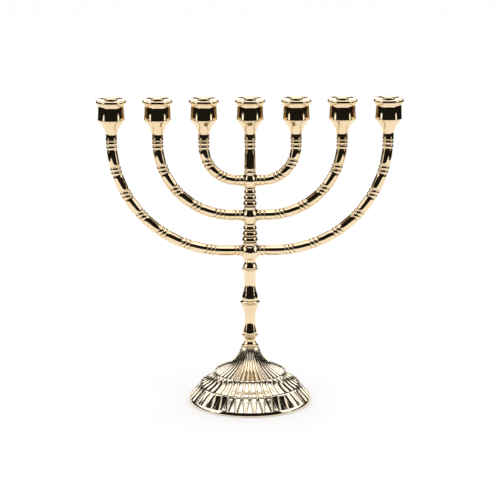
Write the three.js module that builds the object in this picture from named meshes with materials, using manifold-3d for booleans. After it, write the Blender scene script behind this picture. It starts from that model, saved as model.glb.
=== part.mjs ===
// A seven-branched brass menorah, in millimetres, +Z up.
// The origin is the centre of the foot's underside, and the branches lie in the XZ plane.
//
// A steel tie rod runs up the middle. It clamps the foot, the stem, the hubs and the spacers
// between the nut inside the foot and the centre cup, which screws onto the rod's top end.
// Each arm has a spigot at both ends: one sits in a hub's side socket, the other in the neck
// of its candle cup.

import * as THREE from "three";
import { mergeVertices } from "three/addons/utils/BufferGeometryUtils.js";
import Module from "manifold-3d";

const wasm = await Module();
wasm.setup();

// ---------------------------------------------------------------- driving dimensions

// Heights of the joint planes, from the floor up.
const FOOT_TOP_Z = 49.6;
const STEM_LOWER_Z = 55.6;
const STEM_UPPER_Z = 93.6;
const STEM_NECK_Z = 121;
const HUB_LOWER_Z = 131;
const SPACER_LOWER_Z = 146.4;
const HUB_MIDDLE_Z = 162.1;
const SPACER_UPPER_Z = 179;
const HUB_UPPER_Z = 194.9;
const COLUMN_Z = 212;
const CUP_JOINT_Z = 239.2;

// Branches. Each arm runs level from its hub, then turns up in a quarter circle.
const CUPS = 7;
const CUP_SPACING = 40.7;
const ARM_TIERS = [
  { name: "outer", hub: "lower", axisZ: 139, bend: 100.2, cups: 3, firstBeads: 34.7, beadPairs: 7 },
  { name: "middle", hub: "middle", axisZ: 171.3, bend: 66, cups: 2, firstBeads: 26.5, beadPairs: 5 },
  { name: "inner", hub: "upper", axisZ: 202.9, bend: 30, cups: 1, firstBeads: 25.7, beadPairs: 3 },
];
const HUB_FACE_X = 9.05;
const BARREL_END_RADIUS = 4.3;
const BARREL_RADIUS = 4.75;
const BEAD_RADIUS = 4.95;
const BEAD_GROOVE_RADIUS = 4.4;
const BEAD_PITCH = 3.7;
const LAST_BEADS_BELOW_CUP = 4;

// Spigots and the sockets that take them.
const SPIGOT_RADIUS = 2;
const SPIGOT_LENGTH = 4;
const SOCKET_RADIUS = 2.25;
const SOCKET_DEPTH = 4.4;

// Candle cups: octagonal outside, with a flat to the front and a round candle well.
const CUP_HEIGHT = 36.8;
const CUP_FLATS = 8;
const WELL_RADIUS = 5.5;
const WELL_DEPTH = 17.2;

// Foot.
const FLUTES = 42;

// Fixings.
const ROD_RADIUS = 2;
const ROD_HOLE_RADIUS = 2.3;
const FOOT_CEILING_Z = 40;
const WASHER_RADIUS = 6;
const WASHER_THICKNESS = 1;
const NUT_ACROSS_FLATS = 7;
const NUT_HEIGHT = 3.2;
const NUT_HOLE_RADIUS = 2.15;
const ROD_BELOW_NUT = 2;

// Sides of the round pieces and holes.
const ROUND_SIDES = 16;
const ARM_SIDES = 8;
const WELL_SIDES = 20;
const SPIGOT_SIDES = 12;

// How far a cutter runs past the face it opens.
const OVERRUN = 1;

// ---------------------------------------------------------------- geometry helpers

// A turned solid from [radius, height] points, bottom to top along the outside. The profile
// starts and ends on the axis, or closes on itself round a hole.
function turned(profile, sides = ROUND_SIDES, startAngle = 0) {
  const points = profile.map(([radius, height]) => new THREE.Vector2(radius, height));
  const geometry = new THREE.LatheGeometry(points, sides, startAngle);
  geometry.rotateX(Math.PI / 2);
  return geometry;
}

// The same with a round hole up the middle for the tie rod.
function turnedWithHole(profile, sides = ROUND_SIDES) {
  const bottom = profile[0][1];
  const top = profile[profile.length - 1][1];
  const hole = [
    [ROD_HOLE_RADIUS, top],
    [ROD_HOLE_RADIUS, bottom],
  ];
  return turned([...profile, ...hole, profile[0]], sides);
}

function toSolid(geometry) {
  const bare = new THREE.BufferGeometry();
  bare.setAttribute("position", geometry.getAttribute("position"));
  bare.setIndex(geometry.index);
  const merged = mergeVertices(bare, 1e-4);
  const mesh = new wasm.Mesh({
    numProp: 3,
    vertProperties: merged.attributes.position.array,
    triVerts: new Uint32Array(merged.index.array),
  });
  return new wasm.Manifold(mesh);
}

function toGeometry(solid) {
  const mesh = solid.getMesh();
  const geometry = new THREE.BufferGeometry();
  geometry.setAttribute("position", new THREE.BufferAttribute(mesh.vertProperties, 3));
  geometry.setIndex(new THREE.BufferAttribute(mesh.triVerts, 1));
  geometry.computeVertexNormals();
  return geometry;
}

// A pair of beads centred on a place along a bar, as [radius, place] points.
function beadPair(centre) {
  return [
    [BARREL_END_RADIUS, centre - BEAD_PITCH],
    [BEAD_RADIUS, centre - BEAD_PITCH / 2],
    [BEAD_GROOVE_RADIUS, centre],
    [BEAD_RADIUS, centre + BEAD_PITCH / 2],
    [BARREL_END_RADIUS, centre + BEAD_PITCH],
  ];
}

// A cylinder along +Z from bottom to top, as a cutter.
function drill(radius, bottom, top, sides = ROUND_SIDES) {
  return turned([[0, bottom], [radius, bottom], [radius, top], [0, top]], sides);
}

// ---------------------------------------------------------------- materials

const brass = new THREE.MeshStandardMaterial({ color: 0xd9bd84, metalness: 1, roughness: 0.16 });
const steel = new THREE.MeshStandardMaterial({ color: 0x9a9c9e, metalness: 1, roughness: 0.35 });

const menorah = new THREE.Group();

function place(name, geometry, material, position = [0, 0, 0], turn = 0) {
  const mesh = new THREE.Mesh(geometry, material.clone());
  mesh.name = name;
  mesh.position.set(...position);
  mesh.rotation.z = turn;
  menorah.add(mesh);
}

// ---------------------------------------------------------------- foot

// Each point is [radius, height, groove, groove half a flute further on]. The grooves of the
// middle tier stand above the ridges of the lowest one.
const FOOT_OUTSIDE = [
  [54.6, 0, 0, 0],
  [55.3, 0.8, 0, 0],
  [55.3, 2.6, 0, 0],
  [54.5, 3.6, 0.3, 0],
  [53.4, 7, 1.3, 0],
  [50.4, 10, 1.4, 0],
  [46.9, 13, 1.3, 0],
  [45.2, 14.8, 0.7, 0],
  [43.8, 15.8, 0, 1.1],
  [38.3, 20, 0, 1.2],
  [34.2, 23.6, 0, 1],
  [32.4, 26.4, 0, 0.6],
  [31.2, 27.4, 0.5, 0],
  [24.8, 31, 0.6, 0],
  [18.3, 35, 0.5, 0],
  [12.6, 41, 0.4, 0],
  [8.9, 46.8, 0.2, 0],
  [7.75, FOOT_TOP_Z, 0, 0],
];
const FOOT_INSIDE = [
  [ROD_HOLE_RADIUS, FOOT_TOP_Z, 0, 0],
  [ROD_HOLE_RADIUS, FOOT_CEILING_Z, 0, 0],
  [7.5, FOOT_CEILING_Z, 0, 0],
  [14, 34, 0, 0],
  [28, 24.5, 0, 0],
  [40, 14, 0, 0],
  [51.5, 3.4, 0, 0],
  [52, 0, 0, 0],
];

function footGeometry() {
  const profile = [...FOOT_OUTSIDE, ...FOOT_INSIDE, FOOT_OUTSIDE[0]];
  const points = profile.map(([radius, height]) => new THREE.Vector2(radius, height));
  const geometry = new THREE.LatheGeometry(points, 2 * FLUTES);
  const position = geometry.getAttribute("position");
  for (let i = 0; i < position.count; i += 1) {
    const column = Math.floor(i / profile.length);
    const [radius, , ...grooves] = profile[i % profile.length];
    const shrink = (radius - grooves[column % 2]) / radius;
    position.setX(i, position.getX(i) * shrink);
    position.setZ(i, position.getZ(i) * shrink);
  }
  geometry.rotateX(Math.PI / 2);
  return geometry;
}

place("foot", footGeometry(), brass);

// ---------------------------------------------------------------- collar and stem

const COLLAR = [
  [7.4, FOOT_TOP_Z],
  [7.8, 50.2],
  [7.5, 51],
  [6.5, 53],
  [5.1, 55],
  [4.95, STEM_LOWER_Z],
];

// A small ring low down, a slender waist and the largest ring at the top.
const STEM_LOWER = [
  [4.95, STEM_LOWER_Z],
  [5.2, 57.3],
  [6.5, 59.8],
  [7.3, 60.7],
  [7.3, 61.4],
  [6.4, 62.2],
  [5.5, 67],
  [4.7, 73],
  [4.6, 76],
  [5.2, 81.5],
  [6.5, 86],
  [7.2, 88.6],
  [7.7, 90.2],
  [8.9, 91],
  [8.9, 92.2],
  [8, 93],
  [7.3, STEM_UPPER_Z],
];

const STEM_UPPER = [
  [7.3, STEM_UPPER_Z],
  [7.4, 95.8],
  [6.5, 99],
  [5.6, 103],
  [5.05, 107],
  [5.1, 114],
  [5.3, 118],
  [6.1, STEM_NECK_Z],
];

const STEM_NECK = [
  [6.2, STEM_NECK_Z],
  [7.3, 121.6],
  [7.3, 122.3],
  [6.5, 123.4],
  [5.3, 127],
  [5.15, 129.4],
  [5.4, HUB_LOWER_Z],
];

place("foot_collar", turnedWithHole(COLLAR), brass);
place("stem_lower", turnedWithHole(STEM_LOWER), brass);
place("stem_upper", turnedWithHole(STEM_UPPER), brass);
place("stem_neck", turnedWithHole(STEM_NECK), brass);

// ---------------------------------------------------------------- hubs

// A hub is an upright barrel crossed by a level one, with webs that fill the four corners.
// body holds the upright barrel's [radius, height], web its reach along the arms and upright.
const HUBS = {
  lower: {
    body: [[5.4, HUB_LOWER_Z], [6.9, 132.4], [7.7, 135], [7.9, 139], [7.7, 143], [7, SPACER_LOWER_Z]],
    web: { out: 8.6, up: 7.2, halfThickness: 3.6 },
  },
  middle: {
    body: [[5.2, HUB_MIDDLE_Z], [6.2, 163.4], [6.7, 167], [6.9, 171.3], [6.7, 176], [6, SPACER_UPPER_Z]],
    web: { out: 8.4, up: 7.4, halfThickness: 3.3 },
  },
  upper: {
    body: [[4.45, HUB_UPPER_Z], [5.4, 196], [5.8, 198.6], [6, 202.9], [5.7, 207.4], [5, COLUMN_Z]],
    web: { out: 8.2, up: 7.5, halfThickness: 3 },
  },
};

// The level barrel, along X. It ends in one bead on each side, at the face the arm screws to.
const BOSS_BEAD_X = HUB_FACE_X - BEAD_PITCH / 2;
const HUB_BOSS = [
  [0, -HUB_FACE_X],
  [BARREL_END_RADIUS, -HUB_FACE_X],
  [BEAD_RADIUS, -BOSS_BEAD_X],
  [BEAD_GROOVE_RADIUS, -HUB_FACE_X + BEAD_PITCH],
  [BEAD_GROOVE_RADIUS, HUB_FACE_X - BEAD_PITCH],
  [BEAD_RADIUS, BOSS_BEAD_X],
  [BARREL_END_RADIUS, HUB_FACE_X],
  [0, HUB_FACE_X],
];

// The webs as one eight-cornered plate in the plane of the branches, as wide across its four
// ends as the barrels it joins.
function webGeometry({ out, up, halfThickness }, axisZ) {
  const half = BEAD_GROOVE_RADIUS;
  const outline = new THREE.Shape();
  outline.moveTo(out, -half);
  outline.lineTo(out, half);
  outline.lineTo(half, up);
  outline.lineTo(-half, up);
  outline.lineTo(-out, half);
  outline.lineTo(-out, -half);
  outline.lineTo(-half, -up);
  outline.lineTo(half, -up);
  outline.closePath();
  const plate = new THREE.ExtrudeGeometry(outline, { depth: 2 * halfThickness, bevelEnabled: false });
  plate.rotateX(Math.PI / 2);
  plate.translate(0, halfThickness, axisZ);
  return mergeVertices(plate.deleteAttribute("normal").deleteAttribute("uv"));
}

function hubGeometry({ body, web }, axisZ) {
  const bottom = body[0][1];
  const top = body[body.length - 1][1];
  const upright = toSolid(turned([[0, bottom], ...body, [0, top]]));
  const boss = turned(HUB_BOSS).rotateY(Math.PI / 2).translate(0, 0, axisZ);
  const sockets = [0, Math.PI].map((turn) =>
    toSolid(
      drill(SOCKET_RADIUS, HUB_FACE_X - SOCKET_DEPTH, HUB_FACE_X + OVERRUN, SPIGOT_SIDES)
        .rotateY(Math.PI / 2)
        .rotateZ(turn)
        .translate(0, 0, axisZ),
    ),
  );
  const hole = toSolid(drill(ROD_HOLE_RADIUS, bottom - OVERRUN, top + OVERRUN));
  let solid = upright.add(toSolid(boss)).add(toSolid(webGeometry(web, axisZ)));
  for (const cutter of [...sockets, hole]) {
    solid = solid.subtract(cutter);
  }
  return toGeometry(solid);
}

for (const { hub, axisZ } of ARM_TIERS) {
  place(`hub_${hub}`, hubGeometry(HUBS[hub], axisZ), brass);
}

// ---------------------------------------------------------------- spacers and column

// Three flared rings, each widest near its lower edge.
const SPACER_LOWER = [
  [6.8, SPACER_LOWER_Z],
  [7.1, 147.9],
  [6.6, 150.4],
  [6, 151.1],
  [6.3, 152.9],
  [6, 155.8],
  [5.5, 156.6],
  [6, 158.6],
  [5.5, 161.4],
  [5.2, HUB_MIDDLE_Z],
];
const SPACER_UPPER = [
  [5.6, SPACER_UPPER_Z],
  [6, 180.4],
  [5.5, 183.2],
  [5.1, 184],
  [5.6, 185.8],
  [5, 188.6],
  [4.7, 189.4],
  [5.15, 190.9],
  [4.8, 194],
  [4.45, HUB_UPPER_Z],
];

// A plain barrel between the upper hub and the pair of beads below the centre cup.
const COLUMN_BEADS_Z = CUP_JOINT_Z - LAST_BEADS_BELOW_CUP;
const CENTRE_COLUMN = [
  [4.7, COLUMN_Z],
  [4.9, 214.6],
  [4.55, 217.4],
  [4.85, 222],
  [4.85, 227],
  ...beadPair(COLUMN_BEADS_Z),
  [4.7, CUP_JOINT_Z],
];

place("spacer_lower", turnedWithHole(SPACER_LOWER), brass);
place("spacer_upper", turnedWithHole(SPACER_UPPER), brass);
place("centre_column", turnedWithHole(CENTRE_COLUMN), brass);

// ---------------------------------------------------------------- arms

// The point and the inward normal of an arm's centreline at a length along it.
function centreline({ axisZ, bend, cups }, length) {
  const level = cups * CUP_SPACING - bend;
  const quarter = (bend * Math.PI) / 2;
  if (length <= level) {
    return { x: length, z: axisZ, normal: [0, 1] };
  }
  if (length >= level + quarter) {
    return { x: level + bend, z: axisZ + bend + length - level - quarter, normal: [-1, 0] };
  }
  const angle = (length - level) / bend;
  return {
    x: level + bend * Math.sin(angle),
    z: axisZ + bend * (1 - Math.cos(angle)),
    normal: [-Math.sin(angle), Math.cos(angle)],
  };
}

function armLength({ axisZ, bend, cups }) {
  const level = cups * CUP_SPACING - bend;
  const upright = CUP_JOINT_Z - axisZ - bend;
  return level + (bend * Math.PI) / 2 + upright;
}

// The radius of a straight arm along its length: a bead at the hub, then barrels between
// evenly spaced pairs of beads, and a spigot at each end.
function armProfile(tier) {
  const end = armLength(tier);
  const lastBeads = end - LAST_BEADS_BELOW_CUP;
  const pitch = (lastBeads - tier.firstBeads) / (tier.beadPairs - 1);
  const profile = [
    [0, HUB_FACE_X - SPIGOT_LENGTH],
    [SPIGOT_RADIUS, HUB_FACE_X - SPIGOT_LENGTH],
    [SPIGOT_RADIUS, HUB_FACE_X],
    [BARREL_END_RADIUS, HUB_FACE_X],
    [BEAD_RADIUS, HUB_FACE_X + BEAD_PITCH / 2],
    [BARREL_END_RADIUS, HUB_FACE_X + BEAD_PITCH],
  ];
  let barrelStart = HUB_FACE_X + BEAD_PITCH;
  for (let i = 0; i < tier.beadPairs; i += 1) {
    const beads = tier.firstBeads + i * pitch;
    const barrelEnd = beads - BEAD_PITCH;
    for (const share of [1 / 3, 2 / 3]) {
      profile.push([BARREL_RADIUS, barrelStart + share * (barrelEnd - barrelStart)]);
    }
    profile.push(...beadPair(beads));
    barrelStart = beads + BEAD_PITCH;
  }
  profile.push([BARREL_END_RADIUS, end]);
  profile.push([SPIGOT_RADIUS, end]);
  profile.push([SPIGOT_RADIUS, end + SPIGOT_LENGTH]);
  profile.push([0, end + SPIGOT_LENGTH]);
  return profile;
}

// The straight arm bent along its centreline.
function armGeometry(tier) {
  const geometry = turned(armProfile(tier), ARM_SIDES, Math.PI / ARM_SIDES);
  const position = geometry.getAttribute("position");
  for (let i = 0; i < position.count; i += 1) {
    const { x, z, normal } = centreline(tier, position.getZ(i));
    const across = -position.getX(i);
    position.setXYZ(i, x + across * normal[0], position.getY(i), z + across * normal[1]);
  }
  geometry.computeVertexNormals();
  return geometry;
}

for (const tier of ARM_TIERS) {
  const geometry = armGeometry(tier);
  place(`arm_${tier.name}_right`, geometry, brass);
  place(`arm_${tier.name}_left`, geometry, brass, [0, 0, 0], Math.PI);
}

// ---------------------------------------------------------------- candle cups

// Half the width across flats, and the height above the cup's joint.
const CUP_PROFILE = [
  [4.8, 0],
  [5.1, 5],
  [5.6, 8.9],
  [7.2, 12.3],
  [9.6, 16.1],
  [11.5, 18.2],
  [11.9, 19.2],
  [11.6, 25.5],
  [11.6, 30.5],
  [12.2, 33],
  [13.3, 35.4],
  [13.1, 36.4],
  [12.4, CUP_HEIGHT],
  [7, 36.1],
  [5.9, 35.2],
];

function cupGeometry() {
  const halfSide = Math.PI / CUP_FLATS;
  const toCorner = 1 / Math.cos(halfSide);
  const corners = CUP_PROFILE.map(([flat, height]) => [flat * toCorner, height]);
  const innerHeight = CUP_PROFILE[CUP_PROFILE.length - 1][1];
  const outside = turned([[0, 0], ...corners, [0, innerHeight]], CUP_FLATS, halfSide);
  const well = drill(WELL_RADIUS, innerHeight - WELL_DEPTH, CUP_HEIGHT + OVERRUN, WELL_SIDES);
  const socket = drill(SOCKET_RADIUS, -OVERRUN, SOCKET_DEPTH, SPIGOT_SIDES);
  return toGeometry(toSolid(outside).subtract(toSolid(well)).subtract(toSolid(socket)));
}

for (let i = 0; i < CUPS; i += 1) {
  const x = (i - (CUPS - 1) / 2) * CUP_SPACING;
  place(`candle_cup_${i + 1}`, cupGeometry(), brass, [x, 0, CUP_JOINT_Z]);
}

// ---------------------------------------------------------------- fixings

const WASHER_Z = FOOT_CEILING_Z - WASHER_THICKNESS;
const NUT_Z = WASHER_Z - NUT_HEIGHT;
const ROD_BOTTOM_Z = NUT_Z - ROD_BELOW_NUT;
const ROD_TOP_Z = CUP_JOINT_Z + SPIGOT_LENGTH;

function nutGeometry() {
  const outline = new THREE.Shape();
  const corner = NUT_ACROSS_FLATS / 2 / Math.cos(Math.PI / 6);
  for (let i = 0; i < 6; i += 1) {
    const angle = (i * Math.PI) / 3;
    const point = [corner * Math.cos(angle), corner * Math.sin(angle)];
    if (i === 0) outline.moveTo(...point);
    else outline.lineTo(...point);
  }
  outline.closePath();
  const hole = new THREE.Path();
  hole.absarc(0, 0, NUT_HOLE_RADIUS, 0, 2 * Math.PI, true);
  outline.holes.push(hole);
  return new THREE.ExtrudeGeometry(outline, { depth: NUT_HEIGHT, bevelEnabled: false, curveSegments: 8 });
}

place(
  "foot_washer",
  turnedWithHole([[WASHER_RADIUS, WASHER_Z], [WASHER_RADIUS, FOOT_CEILING_Z]]),
  steel,
);
place("foot_nut", nutGeometry(), steel, [0, 0, NUT_Z]);
place("tie_rod", drill(ROD_RADIUS, ROD_BOTTOM_Z, ROD_TOP_Z, SPIGOT_SIDES), steel);

export default menorah;
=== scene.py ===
import math

import bpy
import numpy as np
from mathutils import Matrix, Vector


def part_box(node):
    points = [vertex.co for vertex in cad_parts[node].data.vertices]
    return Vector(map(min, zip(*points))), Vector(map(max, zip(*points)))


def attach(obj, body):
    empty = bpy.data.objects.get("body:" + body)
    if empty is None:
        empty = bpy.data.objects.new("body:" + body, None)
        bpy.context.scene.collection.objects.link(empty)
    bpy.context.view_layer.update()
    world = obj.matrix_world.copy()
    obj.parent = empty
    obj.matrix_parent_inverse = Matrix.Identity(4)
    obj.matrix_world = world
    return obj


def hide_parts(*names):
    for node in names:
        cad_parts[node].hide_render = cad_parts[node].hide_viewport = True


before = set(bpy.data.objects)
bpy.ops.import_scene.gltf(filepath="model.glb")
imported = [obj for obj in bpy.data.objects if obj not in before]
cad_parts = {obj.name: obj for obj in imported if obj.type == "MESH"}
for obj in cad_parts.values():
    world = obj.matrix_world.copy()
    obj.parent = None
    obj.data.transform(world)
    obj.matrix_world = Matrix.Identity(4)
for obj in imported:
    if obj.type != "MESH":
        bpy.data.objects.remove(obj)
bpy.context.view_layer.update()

# Lengths are in millimetres until a mesh is made, and Z is up.
MM = 0.001

# ------------------------------------------------------------------ sizes that follow the frame


def height_of(node):
    """The lowest and highest Z of a CAD node, in millimetres."""
    low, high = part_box(node)
    return low.z / MM, high.z / MM


CUPS = [f"candle_cup_{i}" for i in range(1, 8)]
CUP_X = [(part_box(cup)[0].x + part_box(cup)[1].x) / 2 / MM for cup in CUPS]
CUP_SPACING = CUP_X[4] - CUP_X[3]
CUP_JOINT = height_of("candle_cup_4")[0]
CUP_HEIGHT = height_of("candle_cup_4")[1] - CUP_JOINT
FOOT_TOP = height_of("foot")[1]

# Branches, as in the CAD model: level from the hub, then a quarter circle up to the cup. axis is the
# height of the level stretch, bend the radius of the quarter circle, cups how many cups out it
# reaches, first how far out its first pair of beads is, and pairs how many pairs it has.
ARMS = {
    "outer": {"hub": "lower", "axis": 139.0, "bend": 100.2, "cups": 3, "first": 34.7, "pairs": 7},
    "middle": {"hub": "middle", "axis": 171.3, "bend": 66.0, "cups": 2, "first": 26.5, "pairs": 5},
    "inner": {"hub": "upper", "axis": 202.9, "bend": 30.0, "cups": 1, "first": 25.7, "pairs": 3},
}
HUB_FACE = 9.05
BEAD_PITCH = 3.7
BEAD_RADIUS = 4.95
BARREL_RADIUS = 4.8
GROOVE_RADIUS = 4.1
SHARED_GROOVE_RADIUS = 4.15
LAST_BEADS_BELOW_CUP = 4.0
SPIGOT_RADIUS = 2.0
SPIGOT_LENGTH = 4.0
SOCKET_RADIUS = 2.25
SOCKET_DEPTH = 4.4
ROD_HOLE_RADIUS = 2.3
# Where the end of a solid bar or bore closes on a point.
END_RADIUS = 0.05
# How many flutes each tier of the foot has, and where round the foot one of its ridges stands.
FLUTES = 42
FOOT_TURN = math.radians(-87.5)

# ------------------------------------------------------------------ outline helpers


def curve(*points, steps=6):
    """A smooth line through [radius, height] points, as a centripetal Catmull-Rom spline."""
    p = np.array(points, float)
    p = np.vstack([2 * p[0] - p[1], p, 2 * p[-1] - p[-2]])
    out = []
    for i in range(1, len(p) - 2):
        a, b, c, d = p[i - 1 : i + 3]
        t = np.cumsum([0, *(np.linalg.norm(v) ** 0.5 + 1e-6 for v in (b - a, c - b, d - c))])
        for s in np.linspace(t[1], t[2], steps, endpoint=False):
            ab = ((t[1] - s) * a + (s - t[0]) * b) / (t[1] - t[0])
            bc = ((t[2] - s) * b + (s - t[1]) * c) / (t[2] - t[1])
            cd = ((t[3] - s) * c + (s - t[2]) * d) / (t[3] - t[2])
            abc = ((t[2] - s) * ab + (s - t[0]) * bc) / (t[2] - t[0])
            bcd = ((t[3] - s) * bc + (s - t[1]) * cd) / (t[3] - t[1])
            out.append(((t[2] - s) * abc + (s - t[1]) * bcd) / (t[2] - t[1]))
    out.append(p[-2])
    return np.array(out)


def bead(centre, half, base, crest, steps=10):
    """Half an ellipse that stands out from a bar: [radius, place] points."""
    turn = np.linspace(math.pi, 0, steps + 1)
    return np.column_stack([base + (crest - base) * np.sin(turn), centre + half * np.cos(turn)])


def bead_pair(centre):
    """Two beads side by side, with a shallower groove between them."""
    half = BEAD_PITCH / 2
    lower = bead(centre - half, half, GROOVE_RADIUS, BEAD_RADIUS)
    upper = bead(centre + half, half, GROOVE_RADIUS, BEAD_RADIUS)
    lower[-1, 0] = upper[0, 0] = SHARED_GROOVE_RADIUS
    return np.vstack([lower, upper[1:]])


def barrel(start, end, steps=14):
    """A stretch of bar with a soft belly, narrow at both ends: [radius, place] points."""
    share = np.linspace(0, 1, steps + 1)
    belly = np.sin(math.pi * share) ** 0.28
    radius = GROOVE_RADIUS + (BARREL_RADIUS - GROOVE_RADIUS) * belly
    return np.column_stack([radius, start + share * (end - start)])


def joined(*outlines):
    """Outlines end to end, with repeated points dropped."""
    points = np.vstack([np.array(o, float).reshape(-1, 2) for o in outlines])
    keep = [0]
    for i in range(1, len(points)):
        if np.linalg.norm(points[i] - points[keep[-1]]) > 1e-4:
            keep.append(i)
    return points[keep]


# ------------------------------------------------------------------ mesh helpers


def grid_faces(stations, columns, loop):
    """Quads between neighbouring rings. A loop also joins the last ring to the first."""
    i = np.arange(stations if loop else stations - 1)[:, None]
    j = np.arange(columns)[None, :]
    following = (i + 1) % stations
    beside = (j + 1) % columns
    quads = [i * columns + j, i * columns + beside, following * columns + beside, following * columns + j]
    return np.stack([np.broadcast_to(q, (len(i), columns)) for q in quads], -1).reshape(-1, 4)


def lofted(rings, loop=False):
    """Vertices and faces of a closed surface through rings, an array of stations, columns, 3.
    Without a loop, both ends close on a point at the middle of the end ring."""
    stations, columns, _ = rings.shape
    vertices = rings.reshape(-1, 3)
    faces = grid_faces(stations, columns, loop).tolist()
    if not loop:
        first, last = len(vertices), len(vertices) + 1
        vertices = np.vstack([vertices, rings[0].mean(0), rings[-1].mean(0)])
        top = (stations - 1) * columns
        for j in range(columns):
            k = (j + 1) % columns
            faces.append([first, k, j])
            faces.append([last, top + j, top + k])
    return vertices, faces


def revolved(outline, columns=96):
    """Rings of an outline turned round the Z axis."""
    angle = np.arange(columns) * 2 * math.pi / columns
    radius = outline[:, :1]
    x, y = radius * np.cos(angle), radius * np.sin(angle)
    z = np.broadcast_to(outline[:, 1:], x.shape)
    return np.stack([x, y, z], -1)


def with_hole(outline):
    """A turned outline, bottom to top, closed round the tie rod's hole."""
    top = [[ROD_HOLE_RADIUS, outline[-1][1]]]
    bottom = [[ROD_HOLE_RADIUS, outline[0][1]]]
    return joined(outline, top, bottom)


# A hollow with a radius of this many millimetres or less counts as a full groove.
CAVITY_REACH = 4.0
CAVITY_SMOOTHING = 6


def cavity_of(mesh):
    """How hollow the surface is at each vertex, from 0 on ridges and flats to 1 in grooves."""
    count = len(mesh.vertices)
    place, normal = np.zeros(count * 3), np.zeros(count * 3)
    mesh.vertices.foreach_get("co", place)
    mesh.vertex_normals.foreach_get("vector", normal)
    place, normal = place.reshape(-1, 3), normal.reshape(-1, 3)
    ends = np.zeros(len(mesh.edges) * 2, int)
    mesh.edges.foreach_get("vertices", ends)
    ends = ends.reshape(-1, 2)
    near = np.bincount(ends.ravel(), minlength=count)[:, None]
    length = np.linalg.norm(place[ends[:, 0]] - place[ends[:, 1]], axis=1)
    bend = np.zeros(count)
    for a, b in ((0, 1), (1, 0)):
        step = place[ends[:, b]] - place[ends[:, a]]
        rise = (step * normal[ends[:, a]]).sum(1) / np.maximum(length, 1e-6) ** 2
        np.add.at(bend, ends[:, a], rise)
    value = bend[:, None] / near
    for _ in range(CAVITY_SMOOTHING):
        total = np.zeros((count, 1))
        np.add.at(total, ends[:, 0], value[ends[:, 1]])
        np.add.at(total, ends[:, 1], value[ends[:, 0]])
        value = 0.5 * value + 0.5 * total / near
    return np.clip(value[:, 0] * CAVITY_REACH * MM, 0, 1)


def piece(name, shape, material, at=(0, 0, 0), sharp=50, inside=None):
    """Makes a piece of the visual model that stands for the CAD node of the same name. inside tells
    how far each vertex lies in a hollow with a colour of its own, from 0 to 1, and adds up to 2 to
    its cavity value. That colour is painted shade in the spacers' grooves and the cups' wells, and
    the bare cast metal under the foot."""
    vertices, faces = shape
    mesh = bpy.data.meshes.new(name)
    mesh.from_pydata((np.array(vertices) + np.array(at)) * MM, [], faces)
    mesh.validate()
    mesh.polygons.foreach_set("use_smooth", [True] * len(mesh.polygons))
    mesh.set_sharp_from_angle(angle=math.radians(sharp))
    mesh.materials.append(material)
    cavity = cavity_of(mesh)
    if inside is not None:
        cavity = cavity + 2 * inside(np.array(vertices))
    mesh.attributes.new("cavity", "FLOAT", "POINT").data.foreach_set("value", cavity)
    made = bpy.data.objects.new(name, mesh)
    bpy.context.scene.collection.objects.link(made)
    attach(made, "root")
    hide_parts(name)


# ------------------------------------------------------------------ materials


def node(tree, kind, place, inputs=None, **settings):
    """A node with its settings, and each input linked to a socket or set to a constant."""
    made = tree.nodes.new(kind)
    made.location = place
    for key, value in settings.items():
        setattr(made, key, value)
    for key, value in (inputs or {}).items():
        socket = made.inputs[key]
        if isinstance(value, bpy.types.NodeSocket):
            tree.links.new(value, socket)
        else:
            socket.default_value = value
    return made


def empty_material(name):
    material = bpy.data.materials.new(name)
    material.use_nodes = True
    tree = material.node_tree
    tree.nodes.clear()
    return material, tree


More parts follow.
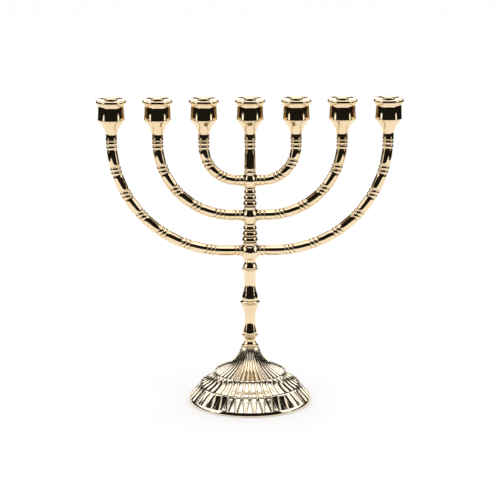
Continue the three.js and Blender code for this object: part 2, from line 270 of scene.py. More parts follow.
def metal(name, polished, dull, tarnish_and_shade, unpolished_and_shade, rough, rough_in_grooves, grime_and_shade=0.6, cast=1.0):
    """Polished metal: broad changes of tone, tarnish and painted shade in the grooves, fine hairlines,
    and the slight unevenness of a casting that was polished by hand. Hollows marked as inside take a
    colour of their own, which is painted shade in some pieces and the bare cast metal in others."""
    material, tree = empty_material(name)

    def noise(at, vector, **inputs):
        return node(tree, "ShaderNodeTexNoise", at, {"Vector": vector, **inputs}).outputs["Fac"]

    def ranged(at, value, low, high, to_low=0.0, to_high=1.0):
        inputs = {0: value, 1: low, 2: high, 3: to_low, 4: to_high}
        return node(tree, "ShaderNodeMapRange", at, inputs).outputs[0]

    def calc(at, operation, a, b, **settings):
        return node(tree, "ShaderNodeMath", at, {0: a, 1: b}, operation=operation, **settings).outputs[0]

    def mix(at, share, first, second):
        inputs = {0: share, 6: first, 7: second}
        return node(tree, "ShaderNodeMix", at, inputs, data_type="RGBA").outputs[2]

    place = node(tree, "ShaderNodeTexCoord", (-1500, 0)).outputs["Object"]
    cavity = node(tree, "ShaderNodeAttribute", (-1500, -300), attribute_name="cavity").outputs["Fac"]

    tone = ranged((-1050, 300), noise((-1250, 300), place, Scale=55, Detail=3), 0.35, 0.7)
    bright = mix((-800, 300), tone, (*polished, 1), (*dull, 1))
    specks = noise((-1250, 0), place, Scale=420, Detail=5, Roughness=0.7)
    speckled = calc((-800, 0), "MULTIPLY", cavity, ranged((-1050, 0), specks, 0.56, 0.78))
    # Grooves darken towards the groove colour with their cavity value. This is partly tarnish and partly
    # painted shade where shade falls in them.
    soil_and_shade = calc((-650, -150), "MULTIPLY", cavity, grime_and_shade)
    soiled_and_shaded = calc((-500, -50), "ADD", speckled, soil_and_shade, use_clamp=True)
    colour = mix((-300, 200), soiled_and_shaded, bright, (*tarnish_and_shade, 1))
    # Vertices marked as inside take the hollow colour outright. This is painted shade in the spacers'
    # grooves and the cups' wells, and the bare cast metal under the foot.
    shade = mix((-100, 300), ranged((-300, 500), cavity, 1.0, 2.0), colour, (*unpolished_and_shade, 1))

    stretch = node(tree, "ShaderNodeMapping", (-1250, -500), {"Vector": place, "Scale": (900, 900, 60)})
    hairs = noise((-1050, -500), stretch.outputs[0], Scale=1.0, Detail=2)
    wear = ranged((-800, -500), hairs, 0.3, 0.7, rough * 0.75, rough * 1.3)
    roughness = ranged((-500, -400), soiled_and_shaded, 0, 1, wear, rough_in_grooves)

    waves = noise((-800, -800), place, Scale=260, Detail=2)
    casting = node(
        tree, "ShaderNodeBump", (-500, -800),
        {"Height": waves, "Strength": 0.35 * cast, "Distance": 0.00012},
    )
    fine = node(
        tree, "ShaderNodeBump", (-300, -700),
        {"Height": hairs, "Strength": 0.12, "Distance": 0.00004, "Normal": casting.outputs[0]},
    )
    surface = node(
        tree, "ShaderNodeBsdfPrincipled", (0, 0),
        {"Base Color": shade, "Metallic": 1.0, "Roughness": roughness, "Normal": fine.outputs[0]},
    )
    node(tree, "ShaderNodeOutputMaterial", (300, 0), {"Surface": surface.outputs[0]})
    return material


# Each metal's groove colour is partly tarnish and partly painted shade in the grooves. The polished brass's
# hollow colour is painted shade. The fluted brass's is the bare cast metal.
polished_brass = metal(
    "polished_brass", polished=(0.91, 0.74, 0.5), dull=(0.89, 0.69, 0.43), tarnish_and_shade=(0.3, 0.17, 0.06),
    unpolished_and_shade=(0.1, 0.07, 0.03), rough=0.035, rough_in_grooves=0.3,
)
fluted_brass = metal(
    "fluted_brass", polished=(0.93, 0.83, 0.67), dull=(0.9, 0.77, 0.58), tarnish_and_shade=(0.09, 0.065, 0.04),
    unpolished_and_shade=(0.38, 0.29, 0.16), rough=0.05, rough_in_grooves=0.4, grime_and_shade=0.95,
)
zinc = metal(
    "zinc_plated_steel", polished=(0.6, 0.61, 0.62), dull=(0.5, 0.51, 0.53), tarnish_and_shade=(0.2, 0.19, 0.17),
    unpolished_and_shade=(0.1, 0.1, 0.1), rough=0.25, rough_in_grooves=0.45, cast=0.3,
)

# ------------------------------------------------------------------ collar and stem
# Every outline below starts at the piece's own lowest point, taken from the frame.


def turned(name, *outlines, inside=None):
    """A piece turned round the stem's axis, from outlines that run from its lower to its upper face."""
    low, high = height_of(name)
    outline = joined(*outlines)
    outline[0, 1], outline[-1, 1] = 0, high - low
    shape = lofted(revolved(with_hole(outline)), loop=True)
    piece(name, shape, polished_brass, at=(0, 0, low), inside=inside)


turned(
    "foot_collar",
    curve([7.4, 0], [7.75, 0.2], [7.8, 0.6], [7.6, 0.95], steps=4),
    curve([7.35, 1.1], [7.5, 1.6], [7.4, 2.1], [7.0, 2.6], [6.3, 3.0], [5.8, 3.7], [5.35, 4.7], [5.0, 5.5],
          [4.95, 6]),
)
turned(
    "stem_lower",
    curve([4.95, 0], [5.0, 1], [5.5, 2.4], [6.2, 3.7], [6.55, 4.5]),
    bead(5.35, 0.75, 6.5, 7.35),
    curve([6.45, 6.2], [6.25, 8.4], [5.7, 10.8], [5.1, 14], [4.72, 17.4], [4.6, 20.2], [4.85, 23.4],
          [5.35, 26.4], [6.1, 29.3], [6.9, 31.6], [7.2, 33.2], [7.3, 34.4]),
    curve([7.5, 34.6], [8.3, 34.9], [8.85, 35.4], [8.97, 36.0], [8.75, 36.5], [8.1, 36.95], [7.5, 37.4],
          [7.3, 38]),
)
turned(
    "stem_upper",
    curve([7.3, 0], [7.45, 1.6], [7.3, 3], [6.75, 5], [6.1, 7.2], [5.6, 9.8], [5.2, 12.6], [5.05, 16],
          [5.08, 20], [5.2, 23.6], [5.6, 25.6], [6.0, 27.4]),
)
turned(
    "stem_neck",
    bead(0.95, 0.85, 6.1, 7.35),
    curve([6.55, 2.0], [6.5, 3.0], [5.95, 4.5], [5.35, 6], [5.12, 7.8], [5.2, 9.2], [5.4, 10]),
)

# ------------------------------------------------------------------ spacers and column


# How much of a ring's height is the groove under it.
GROOVE_SHARE = 0.2


def flared_ring(low, high, neck, edge):
    """One ring of a spacer: an upright groove, a swelling, and a band that leans in above it."""
    rise = high - low
    groove = low + GROOVE_SHARE * rise

    def up(share):
        return low + share * rise

    return joined(
        [[neck, low], [neck, groove - 0.05]],
        curve([neck, groove], [edge - 0.3, up(0.27)], [edge, up(0.4)], [edge - 0.1, up(0.52)],
              [edge - 0.28, up(0.65)], [edge - 0.52, up(0.79)], [edge - 0.8, up(0.92)], [neck, high],
              steps=4),
    )


def spacer(name, neck, edge, count=3):
    """Rings that grow from the top one to the lowest. neck and edge are the radii in the groove and
    at the swelling, of the top ring and of the lowest one."""
    low, high = height_of(name)
    rise = (high - low) / count
    neck_step, edge_step = (neck[1] - neck[0]) / (count - 1), (edge[1] - edge[0]) / (count - 1)
    rings = [
        flared_ring(i * rise, (i + 1) * rise, neck[1] - i * neck_step, edge[1] - i * edge_step)
        for i in range(count)
    ]

    # The groove under each ring is painted nearly black, as painted shade.
    def painted_groove_shade(points):
        outside = np.hypot(points[:, 0], points[:, 1]) > ROD_HOLE_RADIUS + 1
        return outside * (points[:, 2] / rise % 1 < GROOVE_SHARE - 0.005)

    turned(name, *rings, inside=painted_groove_shade)


spacer("spacer_lower", neck=(4.9, 5.8), edge=(6.1, 7.15))
spacer("spacer_upper", neck=(4.2, 4.9), edge=(5.3, 6.1))

column_low = height_of("centre_column")[0]
column_beads = CUP_JOINT - LAST_BEADS_BELOW_CUP - column_low
turned(
    "centre_column",
    curve([4.5, 0], [4.9, 0.6], [5.1, 1.6], [5.04, 3.4], [4.97, 6], [4.93, 9], [4.87, 12], [4.78, 15],
          [4.6, 17.6], [4.15, column_beads - BEAD_PITCH]),
    bead_pair(column_beads),
    [[4.7, CUP_JOINT - column_low]],
)

# ------------------------------------------------------------------ hubs


# How far the webs reach from the middle of a hub.
WEB_REACH = 9
# The size of the cells that a hub's surface is netted with, and the room left round the hub.
HUB_CELL = 0.34
HUB_MARGIN = 0.6
NET_ROUNDS = 8
NET_DAMPING = 0.8


def smooth_union(a, b, blend):
    """The smaller of two distances, rounded over where they come within the blend of each other.
    With a negative blend, the larger one."""
    share = np.clip(0.5 + 0.5 * (b - a) / blend, 0, 1)
    return b + share * (a - b) - blend * share * (1 - share)


def hub_field(body, axis, blend, web):
    """Signed distance, roughly, to a hub: an upright barrel and a level one with rounded webs in
    their four corners, blended, and the sockets and the tie rod's hole cut out."""
    low, high = body[0, 1], body[-1, 1]
    boss = joined(
        [[SHARED_GROOVE_RADIUS, 0], [SHARED_GROOVE_RADIUS, HUB_FACE - BEAD_PITCH]],
        bead(HUB_FACE - BEAD_PITCH / 2, BEAD_PITCH / 2, GROOVE_RADIUS, BEAD_RADIUS),
    )
    centre = (web["x"] + web["round"], web["z"] + web["round"])

    def field(p):
        x, y, z = p[..., 0], p[..., 1], p[..., 2]
        out, away = abs(x), abs(z - axis)
        upright = np.hypot(x, y) - np.interp(z, body[:, 1], body[:, 0])
        level = np.hypot(y, z - axis) - np.interp(out, boss[:, 1], boss[:, 0])
        arc = web["round"] - np.hypot(out - centre[0], away - centre[1])
        corner = np.maximum(arc, np.maximum(out, away) - WEB_REACH)
        corner = np.maximum(corner, np.maximum(out - centre[0], away - centre[1]))
        plate = smooth_union(corner, abs(y) - web["thick"], -1.0)
        solid = smooth_union(smooth_union(upright, plate, blend), level, blend)
        solid = np.maximum(solid, np.maximum(out - HUB_FACE, np.maximum(low - z, z - high)))
        socket = np.maximum(np.hypot(y, z - axis) - SOCKET_RADIUS, HUB_FACE - SOCKET_DEPTH - out)
        hole = np.hypot(x, y) - ROD_HOLE_RADIUS
        return np.maximum(solid, np.maximum(-socket, -hole))

    return field


def off_the_surface(field, points, cell):
    """How far each point lies off the zero of the field, as a step along the gradient."""
    nudge = 0.05 * cell
    here = field(points)
    slope = np.stack([
        (field(points + nudge * axis) - field(points - nudge * axis)) / (2 * nudge) for axis in np.eye(3)
    ], -1)
    return here[:, None] * slope / np.maximum((slope**2).sum(1), 0.05)[:, None]


def surface_net(field, low, high, cell):
    """A closed quad mesh on the zero of a field, one vertex in each cell that it crosses."""
    low, high = np.array(low, float), np.array(high, float)
    counts = np.ceil((high - low) / cell).astype(int) + 1
    axes = [low[k] + cell * np.arange(counts[k]) for k in range(3)]
    grid = np.stack(np.meshgrid(*axes, indexing="ij"), -1)
    value = field(grid)
    corners = np.stack([
        value[i : counts[0] - 1 + i, j : counts[1] - 1 + j, k : counts[2] - 1 + k]
        for i in (0, 1) for j in (0, 1) for k in (0, 1)
    ])
    crossed = (corners.min(0) < 0) & (corners.max(0) >= 0)
    number = np.full(crossed.shape, -1)
    number[crossed] = np.arange(crossed.sum())
    cells = np.argwhere(crossed)
    vertices = low + cell * (cells + 0.5)
    for _ in range(NET_ROUNDS):
        vertices = vertices - NET_DAMPING * off_the_surface(field, vertices, cell)
        vertices = np.clip(vertices, low + cell * cells, low + cell * (cells + 1))
    faces = []
    for k in range(3):
        a, b = (k + 1) % 3, (k + 2) % 3
        upper = np.roll(value, -1, axis=k)
        change = (value < 0) != (upper < 0)
        last = [slice(None)] * 3
        last[k] = -1
        change[tuple(last)] = False
        for at in np.argwhere(change):
            if at[a] == 0 or at[b] == 0:
                continue
            around = []
            for da, db in ((-1, -1), (0, -1), (0, 0), (-1, 0)):
                where = at.copy()
                where[a] += da
                where[b] += db
                around.append(int(number[tuple(where)]))
            if value[tuple(at)] >= 0:
                around.reverse()
            faces.append(around)
    return vertices, faces


def hub(name, axis, body, blend, web):
    """A hub with its arms' sockets at the height of axis."""
    low, high = height_of(name)
    widest = max(r for r, _ in body) + 1
    field = hub_field(curve(*[[r, low + z] for r, z in body]), axis, blend, web)
    first = (-HUB_FACE - HUB_MARGIN, -widest, low - HUB_MARGIN)
    last = (HUB_FACE + HUB_MARGIN, widest, high + HUB_MARGIN)
    piece(name, surface_net(field, first, last, HUB_CELL), polished_brass, sharp=60)


# Each body is [radius, height above the hub's underside] points: a waist, a ball and a waist.
HUBS = {
    "lower": {
        "body": [[5.4, 0], [6.2, 0.7], [7.1, 1.9], [7.6, 3.6], [7.85, 5.6], [7.9, 7.2], [7.7, 8.8],
                 [7.2, 10.2], [6.5, 11.4], [5.85, 12.4], [5.7, 13.6], [6.0, 15.4]],
        "web": {"x": 5.2, "z": 4.1, "round": 4.6, "thick": 3.2},
        "blend": 0.9,
    },
    "middle": {
        "body": [[5.2, 0], [5.3, 1.0], [5.1, 2.2], [5.7, 4.0], [6.5, 6.2], [6.9, 8.4], [6.8, 9.8],
                 [6.4, 11.2], [5.75, 12.5], [5.2, 13.5], [5.05, 14.8], [5.2, 15.9], [5.4, 16.9]],
        "web": {"x": 4.7, "z": 4.1, "round": 4.8, "thick": 3.0},
        "blend": 0.9,
    },
    "upper": {
        "body": [[4.45, 0], [4.9, 0.8], [4.6, 2.1], [5.0, 3.8], [5.7, 5.8], [6.0, 7.5], [5.85, 8.9],
                 [5.4, 10.2], [4.8, 11.3], [4.4, 12.4], [4.5, 14], [5.05, 15.2], [4.9, 16.3], [4.6, 17.1]],
        "web": {"x": 4.2, "z": 4.1, "round": 4.8, "thick": 2.8},
        "blend": 0.8,
    },
}

for tier in ARMS.values():
    hub(f"hub_{tier['hub']}", tier["axis"], **HUBS[tier["hub"]])

# ------------------------------------------------------------------ arms


def arm_outline(tier, end):
    """The radius of an arm along its length, as if it were straight."""
    last = end - LAST_BEADS_BELOW_CUP
    centres = np.linspace(tier["first"], last, tier["pairs"])
    start = HUB_FACE - SPIGOT_LENGTH
    parts = [
        [[END_RADIUS, start], [SPIGOT_RADIUS, start], [SPIGOT_RADIUS, HUB_FACE]],
        bead(HUB_FACE + BEAD_PITCH / 2, BEAD_PITCH / 2, GROOVE_RADIUS, BEAD_RADIUS),
    ]
    place = HUB_FACE + BEAD_PITCH
    for centre in centres:
        parts += [barrel(place, centre - BEAD_PITCH), bead_pair(centre)]
        place = centre + BEAD_PITCH
    tip = end + SPIGOT_LENGTH
    parts.append([[4.6, end], [SPIGOT_RADIUS, end], [SPIGOT_RADIUS, tip], [END_RADIUS, tip]])
    return joined(*parts)


def arm_shape(tier, side, columns=40):
    """An arm on the right for a side of 1, and on the left for -1."""
    level = tier["cups"] * CUP_SPACING - tier["bend"]
    quarter = tier["bend"] * math.pi / 2
    end = level + quarter + CUP_JOINT - tier["axis"] - tier["bend"]
    outline = arm_outline(tier, end)
    length = outline[:, 1]
    turn = np.clip((length - level) / tier["bend"], 0, math.pi / 2)
    x = np.minimum(length, level) + tier["bend"] * np.sin(turn)
    z = tier["axis"] + tier["bend"] * (1 - np.cos(turn)) + np.maximum(length - level - quarter, 0)
    around = np.arange(columns) * 2 * math.pi / columns
    out = outline[:, :1] * np.cos(around)
    rings = np.stack([
        x[:, None] - out * np.sin(turn)[:, None],
        outline[:, :1] * np.sin(around) * -1,
        z[:, None] + out * np.cos(turn)[:, None],
    ], -1)
    if side < 0:
        rings = rings * (-1, -1, 1)
    return lofted(rings)


for name, tier in ARMS.items():
    for side, word in ((1, "right"), (-1, "left")):
        piece(f"arm_{name}_{word}", arm_shape(tier, side), polished_brass)

# ------------------------------------------------------------------ candle cups

CORNERS = 8
WELL_RADIUS = 5.5
WELL_FLOOR = 18.0
CUP_COLUMNS = 88
# How tight the octagon's corners are, as pairs of height and crispness.
CUP_CRISPNESS = [(0, 0.95), (6, 0.93), (11, 0.9), (19, 0.82), (30, 0.8), (34.8, 0.9), (35.9, 0.8),
                 (CUP_HEIGHT, 0.75)]
# Above this height the octagon turns round as it comes this near to the well.
LIP_HEIGHT = 34.7
LIP_BLEND = 1.5
# The well is painted dark from here down, over this depth, as painted shade.
WELL_DARK = 35.9
WELL_FADE = 0.5


def octagon(flat, crisp):
    """A rounded octagon with a flat to the front, as points at even turns of its normal. Its sides
    bulge a little, and the corners are tighter as crisp nears 1."""
    turn = np.arange(CUP_COLUMNS) * 2 * math.pi / CUP_COLUMNS
    size = flat / (1 - crisp / (CORNERS**2 - 1))
    reach = size * (1 - crisp / (CORNERS**2 - 1) * np.cos(CORNERS * turn))
    slope = size * crisp * CORNERS / (CORNERS**2 - 1) * np.sin(CORNERS * turn)
    x = reach * np.cos(turn) - slope * np.sin(turn)
    y = reach * np.sin(turn) + slope * np.cos(turn)
    return np.column_stack([x, y])


def cup_shape():
    """A candle cup: its socket, the octagonal outside, the dished lip and the well."""
    outside = joined(
        curve([4.75, 0], [5.05, 0.3], [5.1, 0.9], [5.0, 1.8], [4.93, 3.2], [4.89, 4.8], [4.93, 6.0],
              [5.1, 6.8], [5.5, 8], [6.0, 9.6], [6.8, 11.4], [7.9, 13.4], [9.2, 15.2], [10.5, 16.9],
              [11.3, 18], [11.65, 18.6], steps=3),
        curve([11.7, 18.65], [11.95, 19.0], [11.97, 19.6], [11.85, 21.2], [11.7, 23.5], [11.6, 26],
              [11.55, 29], [11.62, 31], [11.95, 32.2], [12.45, 33.3], [13.05, 34.2], steps=4),
        curve([13.05, 34.2], [13.36, 34.5], [13.4, 34.8], [13.3, 35.4], [13.05, 36.2], [12.55, CUP_HEIGHT],
              [11.7, 36.72], [10.2, 36.52], [8.6, 36.3], [6.4, 36.05], steps=4),
        curve([6.4, 36.05], [6.0, 35.95], [5.7, 35.7], [5.54, 35.2], steps=4),
    )
    crispness = np.interp(outside[:, 1], *np.transpose(CUP_CRISPNESS))
    turn = np.arange(CUP_COLUMNS) * 2 * math.pi / CUP_COLUMNS

    def circle(radius, height):
        return np.column_stack([radius * np.cos(turn), radius * np.sin(turn), np.full(CUP_COLUMNS, height)])

    socket = ([END_RADIUS, SOCKET_DEPTH], [SOCKET_RADIUS, SOCKET_DEPTH], [SOCKET_RADIUS, 0])
    rings = [circle(r, z) for r, z in socket]
    for (flat, height), crisp in zip(outside, crispness):
        if height > LIP_HEIGHT:
            crisp = crisp * min(1, max(0, (flat - WELL_RADIUS) / LIP_BLEND))
        rings.append(np.column_stack([octagon(flat, crisp), np.full(CUP_COLUMNS, height)]))
    bore = ([WELL_RADIUS, 34.3], [WELL_RADIUS, WELL_FLOOR + 0.4], [WELL_RADIUS - 0.4, WELL_FLOOR],
            [END_RADIUS, WELL_FLOOR])
    rings += [circle(r, z) for r, z in bore]
    return lofted(np.array(rings))


def painted_well_shade(points):
    """How far each point of a cup lies in the painted shade of its well, from 0 to 1."""
    below_mouth = np.clip((WELL_DARK - points[:, 2]) / WELL_FADE, 0, 1)
    in_the_bore = np.hypot(points[:, 0], points[:, 1]) < WELL_RADIUS + 0.1
    return below_mouth * in_the_bore * (points[:, 2] > WELL_FLOOR - 0.1)


for cup, x in zip(CUPS, CUP_X):
    piece(
        cup, cup_shape(), polished_brass, at=(x, 0, CUP_JOINT), sharp=40, inside=painted_well_shade
    )

# ------------------------------------------------------------------ foot

FOOT_BAND = curve(
    [54.5, 0], [55.15, 0.3], [55.3, 0.8], [55.25, 1.4], [55.0, 2.3], [54.55, 3.3], [54.3, 3.75], steps=4
)
# Three tiers, lowest first. line runs up a ridge, and depth is how deep the flutes between the ridges
# are cut at the outer edge of the tier. arch holds the lengths of a flute's lower and upper end, and
# point is lower where the upper end is blunter. width is how much of the step from one ridge to the
# next a flute takes up. bowl and wall say how flat its floor is and how steep its walls are.
TIERS = [
    {"line": curve([54.25, 3.85], [53.3, 5.0], [52.1, 6.4], [50.7, 8.1], [49.1, 10.1], [47.4, 12.3],
                   [45.9, 14.2], [45.3, 15.1]),
     "depth": 1.0, "arch": (0.1, 12.5), "point": 0.5, "width": 0.93, "bowl": 4, "wall": 0.7},
    {"line": curve([45.0, 15.9], [43.8, 16.9], [42.2, 17.9], [39.7, 19.2], [37.1, 21], [34.8, 23.1],
                   [33.1, 25.1], [32.3, 26.5]),
     "depth": 0.9, "arch": (0.1, 4.0), "point": 0.4, "width": 0.9, "bowl": 4, "wall": 0.7},
    {"line": curve([31.9, 27.5], [30.6, 28.3], [28.7, 29.2], [26.7, 30.2], [23, 32.1], [18.3, 35],
                   [14.2, 39], [11.2, 43], [8.9, 47], [8.0, 48.9], steps=7),
     "depth": 2.5, "arch": (0.6, 3.0), "point": 0.4, "width": 1.0, "bowl": 1, "wall": 1.3},
]
# The flutes of the middle tier stand above the ridges of the lowest one.
STAGGERED_TIER = 1
# What lies between one tier and the next, as [radius, height] points.
FOOT_STEPS = [[[44.6, 15.3], [44.5, 15.6]], [[31.6, 26.8], [31.5, 27.1]]]
FOOT_INSIDE = [[7.5, 40], [14, 34], [28, 24.5], [40, 14], [51.5, 3.4], [52, 0]]
FOOT_CEILING = 40.0
# How far short of a tier's upper edge its flutes stop.
FLUTE_GAP = 0.4
# The least share of its depth that a flute keeps near the stem.
LEAST_DEPTH = 0.2
# A flute is at its full depth from where its end has grown to one part in this many of its width.
FLUTE_FALL = 2.6


def flute_depth(tier, line, across):
    """How far the surface lies below the ridge line at each station and column. across runs from
    -1 to 1 between two ridges. The flutes get shallower as they near the stem."""
    along = np.concatenate([[0], np.cumsum(np.linalg.norm(np.diff(line, axis=0), axis=1))])
    low_arch, high_arch = tier["arch"]
    from_low = np.clip(along / low_arch, 0, 1)
    from_high = np.clip((along[-1] - FLUTE_GAP - along) / high_arch, 0, 1)
    reach = np.sqrt(1 - (1 - from_low) ** 2) * from_high ** tier["point"]
    width = np.maximum(tier["width"] * reach, 1e-3)[:, None]
    inside = np.clip(1 - np.abs(across[None, :] / width) ** tier["bowl"], 0, 1)
    radius_share = np.clip(line[:, :1] / line[0, 0], LEAST_DEPTH, 1)
    fall = np.minimum(1, reach[:, None] * FLUTE_FALL)
    return tier["depth"] * inside ** tier["wall"] * radius_share * fall


def foot_shape(per_flute=20):
    """The foot, from its band up over the tiers, down through the rod's hole and out inside."""
    columns = FLUTES * per_flute
    angle = np.arange(columns) * 2 * math.pi / columns + FOOT_TURN
    in_step = 2 * (np.arange(columns) / per_flute % 1) - 1
    in_between = 2 * ((np.arange(columns) / per_flute + 0.5) % 1) - 1
    rings = []

    def ring(radius, height):
        radius = np.broadcast_to(radius, angle.shape)
        height = np.broadcast_to(height, angle.shape)
        rings.append(np.column_stack([radius * np.cos(angle), radius * np.sin(angle), height]))

    for r, z in FOOT_BAND:
        ring(r, z)
    for number, tier in enumerate(TIERS):
        line = tier["line"]
        depth = flute_depth(tier, line, in_between if number == STAGGERED_TIER else in_step)
        slope = np.gradient(line, axis=0)
        slope = slope / np.linalg.norm(slope, axis=1, keepdims=True)
        for (r, z), (dr, dz), cut in zip(line, slope, depth):
            ring(r - dz * cut, z + dr * cut)
        if number < len(FOOT_STEPS):
            for r, z in FOOT_STEPS[number]:
                ring(r, z)
    # The top plate has a small bevel round its edge.
    ring(7.75, FOOT_TOP - 0.25)
    ring(7.6, FOOT_TOP)
    ring(ROD_HOLE_RADIUS, FOOT_TOP)
    ring(ROD_HOLE_RADIUS, FOOT_CEILING)
    for r, z in FOOT_INSIDE:
        ring(r, z)
    return lofted(np.array(rings), loop=True)


def under_the_foot(points):
    """The hollow of the foot, which was left as it was cast."""
    radius = np.hypot(points[:, 0], points[:, 1])
    ceiling = np.interp(radius, *np.transpose(FOOT_INSIDE))
    return (points[:, 2] < ceiling + 0.5) * (radius < FOOT_INSIDE[-1][0] + 0.5)


piece("foot", foot_shape(), fluted_brass, sharp=60, inside=under_the_foot)

# ------------------------------------------------------------------ fixings inside the foot

THREAD_PITCH = 0.7
THREAD_DEPTH = 0.38
THREAD_STEPS = 6
ROD_CHAMFER = 0.6
NUT_BORE = 2.15
NUT_CHAMFER = 0.35
# How much of the way across the flats a face of the nut reaches.
NUT_FACE = 0.97


def rod_shape(columns=20):
    """A threaded rod: the ridge climbs one pitch for each turn, and both ends are chamfered."""
    low, high = height_of("tie_rod")
    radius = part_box("tie_rod")[1].x / MM
    angle = np.arange(columns) * 2 * math.pi / columns
    height = np.linspace(0, high - low, round((high - low) / THREAD_PITCH * THREAD_STEPS) + 1)
    phase = (height[:, None] / THREAD_PITCH - angle[None, :] / (2 * math.pi)) % 1
    from_end = np.minimum(height, height[-1] - height)[:, None]
    # The thread has a flat crest and a flat root, each a tenth of the pitch.
    cut = THREAD_DEPTH * np.clip(np.abs(2 * phase - 1) * 1.25 - 0.125, 0, 1)
    cut = np.maximum(cut, np.clip(ROD_CHAMFER - from_end, 0, None))
    out = radius - cut
    rings = [out * np.cos(angle), out * np.sin(angle), np.broadcast_to(height[:, None], out.shape)]
    return lofted(np.stack(rings, -1))


def washer_shape():
    """A washer with a small bevel round both faces."""
    low, high = height_of("foot_washer")
    radius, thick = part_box("foot_washer")[1].x / MM, high - low
    edge = curve([radius - 0.3, 0], [radius - 0.07, 0.1], [radius, 0.32], steps=4)
    upper = curve([radius, thick - 0.2], [radius - 0.06, thick - 0.05], [radius - 0.25, thick], steps=4)
    inner = [[ROD_HOLE_RADIUS, thick], [ROD_HOLE_RADIUS, 0.15], [ROD_HOLE_RADIUS + 0.15, 0]]
    return lofted(revolved(joined(edge, upper, inner)), loop=True)


def nut_shape(columns=96):
    """A hexagon nut whose corners are turned off at 30 degrees on both faces."""
    low, high = height_of("foot_nut")
    tall = high - low
    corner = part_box("foot_nut")[1].x / MM
    flat = corner * math.cos(math.pi / 6)
    angle = np.arange(columns) * 2 * math.pi / columns
    hexagon = flat / np.cos((angle % (math.pi / 3)) - math.pi / 6)
    slope = math.tan(math.radians(30))
    rings = []

    def ring(out, height):
        rings.append(np.column_stack([out * np.cos(angle), out * np.sin(angle), np.full(columns, height)]))

    for share in (0, 0.1, 0.2, 0.8, 0.9, 1):
        height = share * tall
        to_face = min(height, tall - height)
        ring(np.minimum(hexagon, flat * NUT_FACE + to_face / slope), height)
    ring(NUT_BORE + NUT_CHAMFER, tall)
    ring(NUT_BORE, tall - NUT_CHAMFER)
    ring(NUT_BORE, NUT_CHAMFER)
    ring(NUT_BORE + NUT_CHAMFER, 0)
    return lofted(np.array(rings), loop=True)


fixings = {"tie_rod": rod_shape(), "foot_washer": washer_shape(), "foot_nut": nut_shape()}
for name, shape in fixings.items():
    piece(name, shape, zinc, at=(0, 0, height_of(name)[0]), sharp=35)

# ------------------------------------------------------------------ floor, light and camera


def stage_plane(name, low, high, height, colour):
    """A level rectangle between two corners, in metres, which isn't part of the object."""
    mesh = bpy.data.meshes.new(name)
    corners = [(x, y, height) for x, y in (low, (high[0], low[1]), high, (low[0], high[1]))]
    mesh.from_pydata(corners, [], [(0, 1, 2, 3)])
    material, tree = empty_material(name)
    surface = node(
        tree, "ShaderNodeBsdfPrincipled", (0, 0),
        {"Base Color": (*colour, 1), "Roughness": 0.9, "Specular IOR Level": 0.1},
    )
    node(tree, "ShaderNodeOutputMaterial", (300, 0), {"Surface": surface.outputs[0]})
    mesh.materials.append(material)
    made = bpy.data.objects.new(name, mesh)
    bpy.context.scene.collection.objects.link(made)
    return made


# The metal mirrors a white table of limited size. The camera sees white floor on all sides of it, which
# the metal doesn't mirror.
TABLE_FRONT = -0.7
TABLE_SIDE = 0.65
FLOOR_WHITE = (0.9, 0.9, 0.9)
stage_plane("table", (-TABLE_SIDE, TABLE_FRONT), (TABLE_SIDE, 2.2), 0.0, FLOOR_WHITE)
surround = stage_plane("surround", (-12, -12), (12, 12), -0.001, FLOOR_WHITE)
surround.visible_glossy = False


def area_light(name, place, target, size, power):
    data = bpy.data.lights.new(name, "AREA")
    data.shape = "RECTANGLE"
    data.size, data.size_y = size
    data.energy = power
    light = bpy.data.objects.new(name, data)
    light.location = place
    light.rotation_euler = (Vector(target) - Vector(place)).to_track_quat("-Z", "Y").to_euler()
    bpy.context.scene.collection.objects.link(light)


area_light("overhead", (0.3, -0.2, 1.9), (0, 0, 0.1), (1.6, 1.6), 3)

# The edge of the ceiling, in degrees above the horizon.
CEILING_FRONT = 55
CEILING_SIDE = 50
CEILING_BACK = 46
# White walls: where each starts and ends round from the front, and its foot and top, in degrees.
WALLS = [(62, 125, 13, 36), (70, 78, -7, 6), (163, 180, -80, 18), (163, 180, 22.5, 28)]
# How bright the ceiling and the walls are, and the rest of the room.
STUDIO_WHITE = (1.6, 1.6, 1.6, 1)
STUDIO_DARK = (0.012, 0.011, 0.009, 1)
# What lights the floor, and what the camera sees behind it.
SKY = (1.1, 1.1, 1.1, 1)


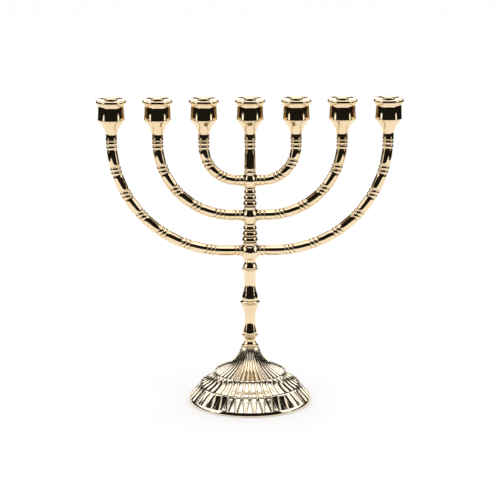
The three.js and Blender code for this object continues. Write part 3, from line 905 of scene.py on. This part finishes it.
def studio_world():
    """A bright ceiling and a few white walls in a dim room, as the metal mirrors them."""
    world = bpy.data.worlds.new("studio")
    world.use_nodes = True
    tree = world.node_tree
    tree.nodes.clear()
    direction = node(tree, "ShaderNodeTexCoord", (-1600, 0)).outputs["Generated"]
    _, y, z = node(tree, "ShaderNodeSeparateXYZ", (-1400, 0), {0: direction}).outputs

    def calc(operation, a, b, place):
        return node(tree, "ShaderNodeMath", place, {0: a, 1: b}, operation=operation).outputs[0]

    def ramp(value, low, high, place):
        """From 0 at low to 1 at high."""
        inputs = {0: value, 1: low, 2: high}
        return node(tree, "ShaderNodeMapRange", place, inputs, interpolation_type="SMOOTHSTEP").outputs[0]

    def up(degrees):
        return math.sin(math.radians(degrees))

    across = calc("MULTIPLY", z, z, (-1200, -100))
    level = calc("SQRT", calc("SUBTRACT", 1.0001, across, (-1100, -100)), 0, (-1000, -100))
    forward = calc("DIVIDE", calc("MULTIPLY", y, -1.0, (-1100, -250)), level, (-900, -200))
    # The ceiling's edge runs from its height behind, by its height at the sides, to that in front.
    sideways = calc("SUBTRACT", 1.0, calc("MULTIPLY", forward, forward, (-750, 0)), (-650, 0))
    tilt = calc("MULTIPLY", forward, 0.5 * (up(CEILING_FRONT) - up(CEILING_BACK)), (-750, 150))
    mean = 0.5 * (up(CEILING_FRONT) + up(CEILING_BACK))
    ends = calc("ADD", tilt, mean, (-600, 150))
    raised = calc("MULTIPLY", sideways, up(CEILING_SIDE) - mean, (-600, 0))
    above_edge = calc("SUBTRACT", z, calc("ADD", ends, raised, (-450, 100)), (-350, 200))
    ceiling = ramp(above_edge, -0.03, 0.03, (-200, 200))

    def round_from_front(first, last, place):
        """1 between two angles round from the front, on both sides alike."""
        near, far = math.cos(math.radians(first)), math.cos(math.radians(last))
        inner = ramp(forward, near + 0.02, near - 0.02, place)
        outer = ramp(forward, far - 0.04, far, (place[0], place[1] - 150))
        return calc("MULTIPLY", inner, outer, (place[0] + 200, place[1]))

    def between(low, high, place):
        """1 between two heights, in degrees above the horizon."""
        foot = ramp(z, up(low - 1), up(low + 1), place)
        top = ramp(z, up(high + 1), up(high - 1), (place[0], place[1] - 150))
        return calc("MULTIPLY", foot, top, (place[0] + 200, place[1]))

    bright = ceiling
    for i, (first, last, low, high) in enumerate(WALLS):
        sides = round_from_front(first, last, (-200, -300 - 400 * i))
        wall = calc("MULTIPLY", sides, between(low, high, (100, -300 - 400 * i)), (400, -300 - 400 * i))
        bright = calc("MAXIMUM", bright, wall, (600, -300 - 400 * i))
    inputs = {0: bright, 6: STUDIO_DARK, 7: STUDIO_WHITE}
    studio = node(tree, "ShaderNodeMix", (800, 0), inputs, data_type="RGBA")
    # Mirrors see the studio. The floor is lit evenly from all round, and so shows as plain white.
    path = node(tree, "ShaderNodeLightPath", (800, 300)).outputs
    inputs = {0: path["Is Glossy Ray"], 6: SKY, 7: studio.outputs[2]}
    shown = node(tree, "ShaderNodeMix", (1000, 100), inputs, data_type="RGBA")
    background = node(tree, "ShaderNodeBackground", (1200, 0), {"Color": shown.outputs[2]})
    node(tree, "ShaderNodeOutputWorld", (1400, 0), {"Surface": background.outputs[0]})
    bpy.context.scene.world = world


studio_world()

# Fitted to the photo, in metres and millimetres.
CAMERA_PLACE = (-0.0645, -2.1734, 0.6772)
CAMERA_TARGET = (0, 0, 0.1391)
CAMERA_LENS = 180.8
camera_data = bpy.data.cameras.new("camera")
camera_data.sensor_width = 36
camera_data.lens = CAMERA_LENS
camera_data.clip_start = 0.1
camera_data.clip_end = 100
camera = bpy.data.objects.new("camera", camera_data)
camera.location = CAMERA_PLACE
camera.rotation_euler = (Vector(CAMERA_TARGET) - camera.location).to_track_quat("-Z", "Y").to_euler()
bpy.context.scene.collection.objects.link(camera)
bpy.context.scene.camera = camera
bpy.context.scene.view_settings.view_transform = "Standard"
